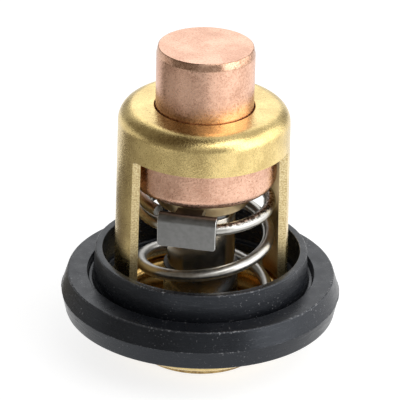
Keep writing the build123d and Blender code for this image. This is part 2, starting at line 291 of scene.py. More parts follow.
def mixed(nodes, links, factor, colour_a, colour_b):
    """Mix two colours by a factor socket."""
    node = nodes.new("ShaderNodeMix")
    node.data_type = "RGBA"
    links.new(factor, node.inputs["Factor"])
    for socket, colour in ((node.inputs["A"], colour_a), (node.inputs["B"], colour_b)):
        if isinstance(colour, bpy.types.NodeSocket):
            links.new(colour, socket)
        else:
            socket.default_value = (*colour, 1)
    return node.outputs["Result"]


def bumped(nodes, links, shader, height, depth):
    """Feed a height, this deep in mm, into the shader's normal."""
    node = nodes.new("ShaderNodeBump")
    node.inputs["Distance"].default_value = depth * mm
    links.new(height, node.inputs["Height"])
    links.new(node.outputs["Normal"], shader.inputs["Normal"])


dot_softness = 0.06
thinnest_cluster = 0.15


def pinholes(nodes, links, vector, size, share_low, cluster_size):
    """Small marks that gather in clusters, as a share from 0 to 1."""
    dots = noise_value(nodes, links, vector, size, 2.0, 0.5)
    dots = spread(nodes, links, dots, 0.0, 1.0, share_low, share_low + dot_softness)
    cluster = noise_value(nodes, links, vector, cluster_size, 2.0, 0.5)
    cluster = spread(nodes, links, cluster, thinnest_cluster, 1.0, 0.42, 0.58)
    return combined(nodes, links, "MULTIPLY", dots, cluster)


# %% [markdown]
# ## Sheet metal
# The cage and the seat cup are drawn from brass sheet, and the wax cup from copper.
# Both have been handled and stored, so they are satin with a sandy grain and fine
# pinholes. One function makes both: a fine noise tints the metal, drives its
# roughness and raises the bump, so the grain sparkles where a lamp hits it.
# Inside the seat cup the brass is smooth and clean, and inside the cage it is dull.
# Both inner finishes are tinted brighter and more orange than the skin, a painted
# glow for the light that the brass round them throws back.


# %% Drawn sheet
cloud_grains, cluster_grains = 14, 22
grain_push = 0.3
pit_strength = 0.6


def drawn_sheet(name, light, dark, grain, rough, depth, pit_colour, pit_size, pit_share):
    """Satin sheet: light and dark tints, grain size, roughness range and bump depth."""
    material, nodes, links, shader = new_material(name)
    shader.inputs["Metallic"].default_value = 1.0
    vector = object_coordinates(nodes, links)
    fine = noise_value(nodes, links, vector, grain, 4.0, 0.65)
    cloud = noise_value(nodes, links, vector, grain * cloud_grains, 4.0, 0.6)
    push = spread(nodes, links, fine, -grain_push, grain_push, 0.2, 0.8)
    tone = combined(nodes, links, "ADD", push, cloud)
    colour = ramp(nodes, links, tone, ((0.34, dark), (0.64, light)))
    pits = pinholes(nodes, links, vector, pit_size, pit_share, grain * cluster_grains)
    pits = combined(nodes, links, "MULTIPLY", pits, pit_strength)
    colour = mixed(nodes, links, pits, colour, pit_colour)
    links.new(colour, shader.inputs["Base Color"])
    links.new(spread(nodes, links, fine, *rough, *noise_range), shader.inputs["Roughness"])
    bumped(nodes, links, shader, fine, depth)
    return material


brass = drawn_sheet(
    "drawn brass", light=(0.90, 0.70, 0.31), dark=(0.64, 0.48, 0.20), grain=0.34, rough=(0.18, 0.30),
    depth=0.040, pit_colour=(0.24, 0.15, 0.05), pit_size=0.34, pit_share=0.615,
)
# Painted shade: the valve disc's brass is made darker for the shadowed floor that it mirrors.
painted_shade_brass = drawn_sheet(
    "brass with painted shade", light=(0.52, 0.38, 0.17), dark=(0.26, 0.17, 0.07), grain=0.45, rough=(0.22, 0.34),
    depth=0.030, pit_colour=(0.12, 0.07, 0.03), pit_size=0.32, pit_share=0.60,
)
# Painted glow: the inner brass is brighter and more orange than the skin.
inner_brass_painted_glow = drawn_sheet(
    "inner brass with painted glow", light=(0.90, 0.60, 0.22), dark=(0.80, 0.51, 0.17), grain=0.40, rough=(0.20, 0.28),
    depth=0.006, pit_colour=(0.30, 0.16, 0.05), pit_size=0.32, pit_share=0.74,
)
# The dull inner brass is rougher, and also tinted more orange as a painted glow.
dull_brass_painted_glow = drawn_sheet(
    "dull brass with painted glow", light=(0.86, 0.62, 0.27), dark=(0.70, 0.48, 0.18), grain=0.40, rough=(0.34, 0.44),
    depth=0.016, pit_colour=(0.34, 0.20, 0.08), pit_size=0.32, pit_share=0.64,
)
copper = drawn_sheet(
    "drawn copper", light=(0.91, 0.57, 0.415), dark=(0.66, 0.375, 0.26), grain=0.40, rough=(0.24, 0.36),
    depth=0.042, pit_colour=(0.36, 0.17, 0.10), pit_size=0.30, pit_share=0.60,
)
# The edge band's copper is darker: partly tarnish, partly painted shade.
tarnish_and_shade_copper = drawn_sheet(
    "tarnish and painted shade copper", light=(0.76, 0.48, 0.34), dark=(0.50, 0.28, 0.18), grain=0.45, rough=(0.18, 0.30),
    depth=0.030, pit_colour=(0.26, 0.12, 0.07), pit_size=0.38, pit_share=0.57,
)
print("sheet finishes", brass.name, copper.name)

# %% [markdown]
# ## Sheared edges
# The windows are punched out of the drawn cup, which leaves bare cut faces as thick
# as the sheet. A punch tears the last part of a cut, so they are paler and coarser
# than the skin. A wave texture along Z marks them across the thickness, its own
# distortion breaks the marks up, and a noise adds crumbs between them.

# %% Sheared brass
sheared_brass, nodes, links, shader = new_material("sheared brass")
shader.inputs["Metallic"].default_value = 1.0
vector = object_coordinates(nodes, links)
tear_share = 0.45
tears = band_value(nodes, links, vector, pitch=0.34, distortion=3.0)
crumbs = noise_value(nodes, links, vector, size=0.28)
tears = combined(nodes, links, "MULTIPLY", tears, tear_share)
tears = combined(nodes, links, "ADD", tears, spread(nodes, links, crumbs, -0.4, 0.8, 0.3, 0.7))
tear_stops = ((0.05, (0.58, 0.43, 0.20)), (0.80, (0.88, 0.75, 0.44)))
links.new(ramp(nodes, links, tears, tear_stops), shader.inputs["Base Color"])
shader.inputs["Roughness"].default_value = 0.42
bumped(nodes, links, shader, tears, depth=0.012)

# %% [markdown]
# ## Wire, strip and turned metal
# The spring is drawn wire, smoother than sheet, and the upper side of its end turn
# carries a dark crust, partly painted shade for the copper body above it. The strap
# is rolled strip with small dents. The guide, the stem and the hub come off a lathe,
# whose tool leaves fine rings round the axis. The hub's top rim is blackened.


# %% Turned metal
tool_pitch, tool_depth = 0.22, 0.0008


def turned_metal(name, light, dark, rough):
    """Lathe-turned metal with fine rings round the Z axis."""
    material, nodes, links, shader = new_material(name)
    shader.inputs["Metallic"].default_value = 1.0
    vector = object_coordinates(nodes, links)
    rings = band_value(nodes, links, vector, tool_pitch, 0.6)
    haze = noise_value(nodes, links, vector, 1.6, 4.0, 0.6)
    links.new(ramp(nodes, links, haze, haze_stops(dark, light)), shader.inputs["Base Color"])
    links.new(spread(nodes, links, haze, *rough, *noise_range), shader.inputs["Roughness"])
    bumped(nodes, links, shader, rings, tool_depth)
    return material


turned_brass = turned_metal(
    "turned brass", light=(0.86, 0.69, 0.42), dark=(0.74, 0.58, 0.34), rough=(0.34, 0.42),
)
stem_bronze = turned_metal(
    "stem bronze", light=(0.86, 0.80, 0.70), dark=(0.78, 0.72, 0.62), rough=(0.19, 0.25),
)
turned_steel = turned_metal(
    "turned steel", light=(0.34, 0.36, 0.39), dark=(0.26, 0.28, 0.31), rough=(0.20, 0.28),
)
black_steel = turned_metal(
    "blackened steel", light=(0.10, 0.095, 0.09), dark=(0.06, 0.055, 0.05), rough=(0.55, 0.65),
)


# %% Wire and strip
dent_size, dent_cluster, dent_strength = 0.40, 4.0, 0.4
dent_colour = (0.14, 0.13, 0.12)


def rolled_steel(name, light, dark, rough, depth, dent_share):
    """Bright or dull steel with faint dents, and the parts of its node tree."""
    material, nodes, links, shader = new_material(name)
    shader.inputs["Metallic"].default_value = 1.0
    vector = object_coordinates(nodes, links)
    haze = noise_value(nodes, links, vector, 0.8, 2.0, 0.5)
    colour = ramp(nodes, links, haze, haze_stops(dark, light))
    dents = pinholes(nodes, links, vector, dent_size, dent_share, dent_cluster)
    dents = combined(nodes, links, "MULTIPLY", dents, dent_strength)
    colour = mixed(nodes, links, dents, colour, dent_colour)
    links.new(colour, shader.inputs["Base Color"])
    links.new(spread(nodes, links, haze, *rough, *noise_range), shader.inputs["Roughness"])
    bumped(nodes, links, shader, haze, depth)
    return material, nodes, links, shader, colour


strip_steel, *_ = rolled_steel(
    "strip steel", light=(0.24, 0.24, 0.235), dark=(0.19, 0.19, 0.185), rough=(0.30, 0.38),
    depth=0.002, dent_share=0.62,
)
# Painted highlight: the tabs' edge bevels are much lighter steel than the strip.
strip_edge_painted_highlight, *_ = rolled_steel(
    "strip edge with painted highlight", light=(0.72, 0.72, 0.70), dark=(0.60, 0.60, 0.58), rough=(0.25, 0.35),
    depth=0.004, dent_share=0.66,
)
wire_steel, nodes, links, shader, wire_tint = rolled_steel(
    "spring wire", light=(0.56, 0.55, 0.52), dark=(0.47, 0.46, 0.43), rough=(0.28, 0.36),
    depth=0.002, dent_share=0.68,
)

# %% Crust and painted shade on the upper side of the spring's end turn
crust_and_shade_size = 0.42
# The dark crust also paints the shade that the copper body casts on this turn.
crust_and_shade_colour = (0.07, 0.055, 0.045)
crust_and_shade_attribute = nodes.new("ShaderNodeAttribute")
crust_and_shade_attribute.attribute_name = "crust_and_shade"
vector = object_coordinates(nodes, links)
crust_and_shade = noise_value(nodes, links, vector, crust_and_shade_size, 3.0, 0.6)
crust_and_shade = spread(nodes, links, crust_and_shade, 0, 1, 0.48, 0.53)
crust_and_shade = combined(nodes, links, "MULTIPLY", crust_and_shade_attribute.outputs["Fac"], crust_and_shade)
links.new(mixed(nodes, links, crust_and_shade, wire_tint, crust_and_shade_colour), shader.inputs["Base Color"])
print("steel finishes", strip_steel.name, strip_edge_painted_highlight.name, wire_steel.name)

# %% [markdown]
# ## Rubber
# The ring is black rubber, moulded, with a faint blue cast. Its body colour is very
# dark and what shows is mostly a soft gloss, so the base colour stays low and the
# shader's own specular does the rest. Dust sits in specks and scuffs run round the
# ring. The rounded edges hold more dust and are painted paler, a painted highlight.


# %% Rubber with dust
scuff_tint, scuff_strength = (0.060, 0.063, 0.070), 0.25
dust_size, dust_cluster, dust_strength = 0.38, 7.0, 0.6
dust_colour = (0.36, 0.36, 0.37)


def dusty_rubber(name, tint_low, tint_high, dust_share, rough):
    """Moulded rubber; dust_share is where in the noise the dust begins."""
    material, nodes, links, shader = new_material(name)
    vector = object_coordinates(nodes, links)
    cloud = noise_value(nodes, links, vector, 6.0, 5.0, 0.6)
    tint = ramp(nodes, links, cloud, ((0.3, tint_low), (0.7, tint_high)))
    flattened = object_coordinates(nodes, links, (1, 1, 9))
    scuffs = noise_value(nodes, links, flattened, 3.0, 5.0, 0.65)
    scuffed = spread(nodes, links, scuffs, 0, scuff_strength, 0.54, 0.72)
    tint = mixed(nodes, links, scuffed, tint, scuff_tint)
    dust = pinholes(nodes, links, vector, dust_size, dust_share, dust_cluster)
    dust = combined(nodes, links, "MULTIPLY", dust, dust_strength)
    tint = mixed(nodes, links, dust, tint, dust_colour)
    links.new(tint, shader.inputs["Base Color"])
    links.new(spread(nodes, links, scuffs, *rough, *noise_range), shader.inputs["Roughness"])
    shader.inputs["Specular Tint"].default_value = (0.84, 0.90, 1.0, 1)
    shader.inputs["Specular IOR Level"].default_value = 0.44
    skin = noise_value(nodes, links, vector, 0.5, 4.0, 0.65)
    bumped(nodes, links, shader, skin, depth=0.022)
    return material


rubber = dusty_rubber(
    "moulded rubber", tint_low=(0.005, 0.006, 0.008), tint_high=(0.011, 0.012, 0.015),
    dust_share=0.655, rough=(0.38, 0.22),
)
# The edge finish is paler: dust, and a painted highlight along the rounded edges.
rubber_edge_dust_and_highlight = dusty_rubber(
    "scuffed rubber edge with painted highlight", tint_low=(0.014, 0.015, 0.018), tint_high=(0.04, 0.042, 0.046),
    dust_share=0.535, rough=(0.38, 0.24),
)
print("rubber finishes", rubber.name, rubber_edge_dust_and_highlight.name)

# %% [markdown]
# ## Pieces inside the element
# Wax, a rubber plug, a plastic washer and the piston are sealed in, and only show
# if the part is opened. The CAD nodes already have their right shapes, so they keep
# their meshes and get plain finishes.


# %% Plain inner finishes
def plain(name, colour, roughness):
    """A quiet finish with a faint mottle."""
    material, nodes, links, shader = new_material(name)
    vector = object_coordinates(nodes, links)
    darker = tuple(channel * 0.8 for channel in colour)
    mottle = noise_value(nodes, links, vector, 2.5)
    links.new(ramp(nodes, links, mottle, ((0.3, darker), (0.7, colour))), shader.inputs["Base Color"])
    shader.inputs["Roughness"].default_value = roughness
    return material


wax = plain("wax with copper powder", (0.70, 0.42, 0.25), roughness=0.6)
plug_rubber = plain("plug rubber", (0.05, 0.04, 0.035), roughness=0.6)
washer_plastic = plain("washer plastic", (0.80, 0.79, 0.75), roughness=0.4)
for node, material in (
    ("wax_charge", wax), ("diaphragm", plug_rubber), ("piston_plug", plug_rubber),
    ("plug_washer", washer_plastic), ("piston", turned_steel),
):
    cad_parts[node].data.materials.clear()
    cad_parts[node].data.materials.append(material)
    print(node, "gets", material.name)

# %% [markdown]
# ## Seal ring
# The ring is one rubber moulding, with a low lip outside, a groove, and a tall
# collar inside. Its pocket holds the hemmed flange. The section is spun, and each
# rounded edge gets the scuffed finish, whose paler tone is dust and a painted
# highlight. The two halves of the mould meet at the widest rim, where they leave a
# thin fin of flash with a ragged edge, so that rim is a narrow land whose outer
# points are pushed in by a noise that runs round it.

# %% Seal ring
ridge_radius = 24.92
flash_radius = 24.99
flash_half_height = 0.07
lip_radius = 23.85
lip_height = 3.5
groove_outer, groove_inner, groove_height = 20.1, 19.3, 2.0
collar_outer, collar_inner, collar_height = 18.9, 17.6, 8.0
step_outer, step_inner, step_height = 17.5, 16.4, 1.5
ring_foot = foot_of("seal_ring")
ring_foot_radius = 24.2
ring_bore = 14.45
pocket_radius, pocket_lip, pocket_gap = 20.3, 18.15, 0.05
pocket_roof = flange_top + cup_sheet + 2 * pocket_gap
pocket_floor = flange_bottom - cup_sheet - pocket_gap
outer_round, inner_round, groove_round, foot_round = 0.22, 0.16, 0.25, 0.25
step_outer_round, step_inner_round = 0.4, 0.2
bore_round, pocket_round = 0.05, 1.1
ring_steps = 288
ring_bm = spun([
    (ring_bore, ring_foot),
    (ring_foot_radius, ring_foot),
    (ridge_radius, flange_top - flash_half_height),
    (flash_radius, flange_top - flash_half_height / 2),
    (flash_radius, flange_top + flash_half_height / 2),
    (ridge_radius, flange_top + flash_half_height),
    (lip_radius, flange_top + lip_height),
    (pocket_radius, flange_top + lip_height),
    (groove_outer, flange_top + groove_height),
    (groove_inner, flange_top + groove_height),
    (collar_outer, flange_top + collar_height),
    (collar_inner, flange_top + collar_height),
    (step_outer, flange_top + step_height),
    (step_inner, flange_top + step_height),
    (step_inner, flange_top + pocket_gap),
    (pocket_lip, flange_top + pocket_gap),
    (pocket_lip, pocket_roof),
    (pocket_radius, pocket_roof),
    (pocket_radius, pocket_floor),
    (ring_bore, pocket_floor),
], steps=ring_steps)
refinish(ring_bm, lambda radius, height: radius > ridge_radius - 2 * hair)
# The outer rounded edges get the paler edge finish, with its painted highlight.
soften(ring_bm, (
    (ring_foot_radius, ring_foot, foot_round),
    (lip_radius, flange_top + lip_height, outer_round),
    (pocket_radius, flange_top + lip_height, inner_round),
    (collar_outer, flange_top + collar_height, outer_round),
    (collar_inner, flange_top + collar_height, inner_round),
), segments=4, material_index=1)
soften(ring_bm, (
    (groove_outer, flange_top + groove_height, groove_round),
    (groove_inner, flange_top + groove_height, groove_round),
    (step_outer, flange_top + step_height, step_outer_round),
    (step_inner, flange_top + step_height, step_inner_round),
    (ring_bore, ring_foot, bore_round),
    (ring_bore, pocket_floor, pocket_round),
), segments=4)

# %% Ragged edge of the flash
flash_wave, flash_ripple = 3.2 * mm, 0.5 * mm
flash_depth = 0.22 * mm
ripple_share, deepest_tear = 0.5, 0.5
for vert in ring_bm.verts:
    radius = hypot(vert.co.x, vert.co.y)
    if radius > (flash_radius - 2 * hair) * mm:
        torn = noise.noise(vert.co / flash_wave) + ripple_share * noise.noise(vert.co / flash_ripple)
        torn = min(max(0.0, torn), deepest_tear)
        vert.co *= Vector((1, 1, 0)) * (1 - torn * flash_depth / radius) + Vector((0, 0, 1))
make_piece("seal_ring_moulded", ring_bm, [rubber, rubber_edge_dust_and_highlight], "housing", "seal_ring")

# %% [markdown]
# ## Seat cup
# A shallow brass cup hangs below the cage. Its floor has the round hole that the
# valve closes, and its rim is hemmed over the cage's flange, which holds the two
# together. Both faces of the sheet are one closed outline here, so the hem needs no
# second piece, and the bends are bevels whose widths are the bend radii.

# %% Seat cup
seat_hole = 10.0
seat_cup_inner, seat_cup_outer = 13.4, 14.4
hem_radius, hem_lap_radius = 20.25, 18.2
hem_bend, mouth_bend, floor_bend = 1.0, 1.15, 1.0
hem_top = top_of("seat_cup")
flange_clear = 19.25
hole_break = 0.15
skin_slack = 0.1
cup_bm = spun([
    (seat_hole, cup_floor),
    (seat_cup_inner, cup_floor),
    (seat_cup_inner, flange_bottom),
    (flange_clear, flange_bottom),
    (flange_clear, hem_top - cup_sheet),
    (hem_lap_radius, hem_top - cup_sheet),
    (hem_lap_radius, hem_top),
    (hem_radius, hem_top),
    (hem_radius, flange_bottom - cup_sheet),
    (seat_cup_outer, flange_bottom - cup_sheet),
    (seat_cup_outer, seat_face),
    (seat_hole, seat_face),
])
# The inner faces get the inner brass, with its painted glow.
refinish(cup_bm, lambda radius, height: (
    radius < seat_cup_inner + skin_slack and height > cup_floor - skin_slack
))
soften(cup_bm, (
    (hem_radius, hem_top, hem_bend),
    (hem_radius, flange_bottom - cup_sheet, hem_bend),
    (seat_cup_outer, flange_bottom - cup_sheet, mouth_bend),
    (seat_cup_outer, seat_face, floor_bend + cup_sheet),
    (seat_hole, seat_face, hole_break),
))
soften(cup_bm, (
    (seat_cup_inner, cup_floor, floor_bend),
    (seat_cup_inner, flange_bottom, mouth_bend + cup_sheet),
    (seat_hole, cup_floor, hole_break),
), material_index=1)
make_piece("seat_cup_drawn", cup_bm, [brass, inner_brass_painted_glow], "housing", "seat_cup")

# %% [markdown]
# ## Cage
# The cage is a deep-drawn brass dome with a flange. Two windows are punched through
# it, which leaves two legs. Spinning gives the drawn cup, and a boolean with two
# blocks punches it, as the press does. The cutter carries the sheared finish, and
# the boolean passes it on to the cut faces. A small bevel then breaks the edges.

# %% Drawn cup of the cage
bulb_hole, bulb_hole_round = 8.8, 0.18
dome_radius, leg_foot_radius = 15.05, 15.55
cage_flange_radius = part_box("cage")[1].x / mm
inside_reach = leg_foot_radius - 0.9
dome_bend, foot_bend, flange_round = 2.9, 0.8, 0.4
cage_bm = spun([
    (bulb_hole, dome_top),
    (dome_radius, dome_top),
    (leg_foot_radius, flange_top),
    (cage_flange_radius, flange_top),
    (cage_flange_radius, flange_bottom),
    (leg_foot_radius - cage_sheet, flange_bottom),
    (dome_radius - cage_sheet, shoulder),
    (bulb_hole, shoulder),
])
# The inner faces get the dull brass, with its painted glow.
refinish(cage_bm, lambda radius, height: radius < inside_reach and height < dome_top - skin_slack)
soften(cage_bm, (
    (bulb_hole, dome_top, bulb_hole_round),
    (dome_radius, dome_top, dome_bend),
    (leg_foot_radius, flange_top, foot_bend),
    (cage_flange_radius, flange_top, flange_round),
    (cage_flange_radius, flange_bottom, flange_round),
), segments=8)
soften(cage_bm, (
    (leg_foot_radius - cage_sheet, flange_bottom, foot_bend + cage_sheet),
    (dome_radius - cage_sheet, shoulder, dome_bend - cage_sheet),
    (bulb_hole, shoulder, hole_break),
), segments=8, material_index=1)
cage = make_piece("cage_drawn", cage_bm, [brass, dull_brass_painted_glow], "housing", "cage")

# %% Blocks that punch the windows
leg_half_width = 6.5
window_height = 28.8
window_top = flange_top + window_height
window_foot = flange_top + 2 * hair
window_corner = 0.6
punch_depth, punch_width = 20.0, 60.0
punch_bm = bmesh.new()
for side in (-1, 1):
    middle = Vector((0, side * (leg_half_width + punch_depth / 2), (window_foot + window_top) / 2))
    size = Vector((punch_width, punch_depth, window_top - window_foot))
    bmesh.ops.create_cube(punch_bm, size=1, matrix=Matrix.LocRotScale(middle * mm, None, size * mm))


def at_window_corner(vert):
    """True for a punch's inner upper corners, which are rounded on the tool."""
    beside_leg = abs(abs(vert.co.y) / mm - leg_half_width) < hair
    return beside_leg and vert.co.z / mm > window_top - hair


corner_edges = [
    edge for edge in punch_bm.edges
    if all(at_window_corner(vert) for vert in edge.verts)
]
bmesh.ops.bevel(
    punch_bm, geom=corner_edges, offset=window_corner * mm, segments=6, profile=0.5,
    affect="EDGES", material=-1,
)
punch = mesh_object("window_punch", punch_bm, [sheared_brass])

# %% Punch the windows and break their edges
window_edge_break = 0.10
cage.modifiers.clear()
cut = cage.modifiers.new("windows", "BOOLEAN")
cut.operation = "DIFFERENCE"
cut.solver = "EXACT"
cut.object = punch
cut.material_mode = "TRANSFER"
deburr = cage.modifiers.new("broken edges", "BEVEL")
deburr.width = window_edge_break * mm
deburr.segments = 2
deburr.limit_method = "ANGLE"
deburr.angle_limit = radians(50)
bpy.context.view_layer.update()
depsgraph = bpy.context.evaluated_depsgraph_get()
cut_mesh = bpy.data.meshes.new_from_object(cage.evaluated_get(depsgraph))
cage.modifiers.clear()
cage.data = cut_mesh
cut_mesh.set_sharp_from_angle(angle=sharp_angle)
weigh_normals(cage)
bpy.data.objects.remove(punch)
print("cage", len(cut_mesh.polygons), "faces in", [item.name for item in cut_mesh.materials])

# %% [markdown]
# ## Element cup
# The stepped copper cup holds the wax. Its narrow bulb stands out of the dome, and
# its body is crimped in over the guide's flange below. The bulb's closed end leans
# in over a narrow band, whose faces get a darker copper of their own: partly
# tarnish, partly painted shade for the dark that the band mirrors. A small dimple
# marks the end's middle.

# %% Element cup
cup_wall = 1.0
bulb_radius, body_radius = 8.6, 13.0
edge_width, edge_height = 0.3, 1.3
crimp_radius = 8.65
dimple_radius, dimple_depth = 0.75, 0.22
body_bend, crimp_bend = 2.6, 2.0
edge_round, shoulder_round, crimp_round = 0.14, 0.2, 0.3
element_bm = spun([
    (0, bulb_top - dimple_depth),
    (dimple_radius, bulb_top),
    (bulb_radius - edge_width, bulb_top),
    (bulb_radius, bulb_top - edge_height),
    (bulb_radius, shoulder),
    (body_radius, shoulder),
    (body_radius, crimp_face),
    (crimp_radius, crimp_face),
    (crimp_radius, crimp_face + cup_wall),
    (body_radius - cup_wall, crimp_face + cup_wall),
    (body_radius - cup_wall, shoulder - cup_wall),
    (bulb_radius - cup_wall, shoulder - cup_wall),
    (bulb_radius - cup_wall, bulb_top - cup_wall),
    (0, bulb_top - cup_wall),
], closed=False)
# The band's faces get the darker copper, partly tarnish and partly painted shade.
refinish(element_bm, lambda radius, height: (
    radius > bulb_radius - edge_width and height > bulb_top - edge_height
))
soften(element_bm, (
    (bulb_radius, shoulder, shoulder_round),
    (body_radius, shoulder, body_bend),
    (body_radius, crimp_face, crimp_bend),
    (crimp_radius, crimp_face, crimp_round),
    (body_radius - cup_wall, crimp_face + cup_wall, crimp_bend - cup_wall),
    (body_radius - cup_wall, shoulder - cup_wall, body_bend - cup_wall),
))
soften(element_bm, (
    (bulb_radius - edge_width, bulb_top, edge_round),
    (bulb_radius, bulb_top - edge_height, edge_round),
), segments=3, material_index=1)
copper_finishes = [copper, tarnish_and_shade_copper]
make_piece("element_cup_drawn", element_bm, copper_finishes, "housing", "element_cup")

# %% [markdown]
# ## Guide, stem and hub
# Below the element come the turned pieces: the guide with its collar, the stem tube
# that slides on the guide, and the steel hub that the tube is pressed into. Each is
# one spun outline with its bore, because a lathe cuts them in the same way.

# %% Guide
guide_foot, guide_top = foot_of("guide"), top_of("guide")
guide_bore, guide_stem_radius, collar_radius = 2.05, 3.35, 8.3
guide_stem_length, collar_round = 11.6, 0.3
collar_face = guide_foot + guide_stem_length
guide_flange_radius, guide_flange_chamfer = 11.7, 0.9
plug_bore, plug_bore_depth = 3.25, 5.6
guide_flange_face = crimp_face + cup_wall
guide_bm = spun([
    (guide_bore, guide_foot),
    (guide_stem_radius, guide_foot),
    (guide_stem_radius, collar_face),
    (collar_radius, collar_face),
    (collar_radius, guide_flange_face),
    (guide_flange_radius - guide_flange_chamfer, guide_flange_face),
    (guide_flange_radius, guide_flange_face + guide_flange_chamfer),
    (guide_flange_radius, guide_top),
    (plug_bore, guide_top),
    (plug_bore, guide_top - plug_bore_depth),
    (guide_bore, guide_top - plug_bore_depth),
])
soften(guide_bm, ((collar_radius, collar_face, collar_round),), segments=4)
make_piece("guide_turned", guide_bm, [turned_brass], "housing", "guide")

# %% Stem tube
tube_foot, tube_top = foot_of("stem_tube"), top_of("stem_tube")
tube_bore, tube_radius, tube_neck, tube_head = 3.4, 6.05, 4.3, 5.5
head_thickness, strap_sheet = 0.5, 0.9
tube_round, head_round = 0.2, 0.15
strap_seat = tube_top - head_thickness - strap_sheet
tube_bm = spun([
    (tube_bore, tube_foot),
    (tube_radius, tube_foot),
    (tube_radius, strap_seat),
    (tube_neck, strap_seat),
    (tube_neck, tube_top - head_thickness),
    (tube_head, tube_top - head_thickness),
    (tube_head, tube_top),
    (tube_bore, tube_top),
])
soften(tube_bm, (
    (tube_radius, strap_seat, tube_round),
    (tube_head, tube_top, head_round),
), segments=3)
make_piece("stem_tube_turned", tube_bm, [stem_bronze], "valve", "stem_tube")

# %% Valve hub
hub_foot, hub_top = foot_of("valve_hub"), top_of("valve_hub")
disc_top = top_of("valve_disc")
recess_depth, rivet_radius, spigot_radius = 0.8, 4.4, 3.0
hub_radius, socket_radius, socket_depth, piston_seat = 6.7, 6.06, 6.0, 0.8
rivet_round, rim_round = 0.25, 0.15
hub_bm = spun([
    (0, hub_foot),
    (rivet_radius, hub_foot),
    (rivet_radius, recess_depth),
    (spigot_radius, recess_depth),
    (spigot_radius, disc_top),
    (hub_radius, disc_top),
    (hub_radius, hub_top),
    (socket_radius, hub_top),
    (socket_radius, hub_top - socket_depth),
    (guide_bore, hub_top - socket_depth),
    (guide_bore, hub_top - socket_depth - piston_seat),
    (0, hub_top - socket_depth - piston_seat),
], closed=False)
refinish(hub_bm, lambda radius, height: height > hub_top - hair)
soften(hub_bm, ((rivet_radius, hub_foot, rivet_round),), segments=3)
soften(hub_bm, ((hub_radius, hub_top, rim_round),), segments=3, material_index=1)
hub_finishes = [turned_steel, black_steel]
make_piece("valve_hub_turned", hub_bm, hub_finishes, "valve", "valve_hub")

# %% [markdown]
# ## Valve disc
# The disc that shuts the seat is thick brass, dished below so that the hub's
# riveted end lies clear of what the part stands on. Its lower rims are rounded.

# %% Valve disc
valve_radius, recess_radius = 11.3, 8.0
valve_round, recess_round = 0.4, 0.2
disc_bore = spigot_radius + hair
disc_bm = spun([
    (disc_bore, recess_depth),
    (recess_radius, recess_depth),
    (recess_radius, 0),
    (valve_radius, 0),
    (valve_radius, disc_top),
    (disc_bore, disc_top),
])
soften(disc_bm, ((valve_radius, 0, valve_round), (recess_radius, 0, recess_round)), segments=5)
# The disc gets the darker brass, a painted shade.
make_piece("valve_disc_turned", disc_bm, [painted_shade_brass], "valve", "valve_disc")

# %% [markdown]
# ## Return spring
# The spring is one round wire, closed at both ends and open in the middle, so its
# pitch changes smoothly along the wire. A disc is spun a few degrees at a time with
# a rise for each step, as a coiling machine does, and the rises come from the wire's
# height, which is a function of the turns wound so far.

# %% Height of the wire
wire_radius = 1.05
coil_radius = 11.35
coil_axis = Vector((0.60, -0.24, 0)) * mm       # the coils stand a little off the part's axis
spring_turns = 4.14
end_angle = radians(-58.0)
closed_pitch = 2 * wire_radius
open_pitch = 11.3
lower_change = (1.0, 0.12)
upper_change = (spring_turns - 1.15, 0.36)


def turns_past(change, turn):
    """Turns wound since a change of pitch, eased in over its length."""
    middle, half = change
    through = min(max(turn - middle + half, 0), 2 * half)
    return through**2 / (4 * half) + max(turn - middle - half, 0)


def wire_height(turn):
    """Height of the wire's centre, this many turns above its lower tip."""
    turns_open = turns_past(lower_change, turn) - turns_past(upper_change, turn)
    return cup_floor + wire_radius + closed_pitch * turn + (open_pitch - closed_pitch) * turns_open


print("wire from", round(wire_height(0), 2), "to", round(wire_height(spring_turns), 2))

# %% Wind the wire
steps_per_turn = 72
wire_corners = 32
wire_steps = round(spring_turns * steps_per_turn)
turn_step = spring_turns / wire_steps
start_angle = end_angle - 2 * pi * spring_turns
lower_tip = coil_axis + mm * Vector((
    coil_radius * sin(start_angle), -coil_radius * cos(start_angle), wire_height(0),
))
across = Matrix.Rotation(start_angle, 4, "Z") @ Matrix.Rotation(radians(90), 4, "Y")
spring_bm = bmesh.new()
bmesh.ops.create_circle(
    spring_bm, cap_ends=True, radius=wire_radius * mm, segments=wire_corners,
    matrix=Matrix.Translation(lower_tip) @ across,
)
section = spring_bm.edges[:]
for step in range(wire_steps):
    rise = wire_height((step + 1) * turn_step) - wire_height(step * turn_step)
    wound = bmesh.ops.spin(
        spring_bm, geom=section, cent=coil_axis, axis=(0, 0, 1), dvec=(0, 0, rise * mm),
        angle=2 * pi * turn_step, steps=1, use_merge=False,
    )
    section = [item for item in wound["geom_last"] if isinstance(item, bmesh.types.BMEdge)]
bmesh.ops.contextual_create(spring_bm, geom=section)
bmesh.ops.recalc_face_normals(spring_bm, faces=spring_bm.faces)
print("spring", len(spring_bm.verts), "points")

# %% Mark the side of the end turn that gets crust and painted shade
crust_and_shade_from, crust_and_shade_to, crust_and_shade_fade = 1.0, 0.22, 0.12         # in turns before the tip
slope_from, slope_fade = 0.45, 0.35
spring_bm.verts.ensure_lookup_table()
spring_bm.normal_update()
crust_and_shade_mark = spring_bm.verts.layers.float.new("crust_and_shade")
for vert in spring_bm.verts:
    from_tip = spring_turns - (vert.index // wire_corners) * turn_step
    along = min(crust_and_shade_from - from_tip, from_tip - crust_and_shade_to) / crust_and_shade_fade
    along = min(max(along, 0.0), 1.0)
    upward = min(max((vert.normal.z - slope_from) / slope_fade, 0.0), 1.0)
    vert[crust_and_shade_mark] = along * upward

# %% [markdown]
# The spring stands on the seat cup's floor, which does not move. In the part its top
# follows the valve, so it is squashed as the valve slides down; here it is carried
# with the housing and gets a mesh of its own.

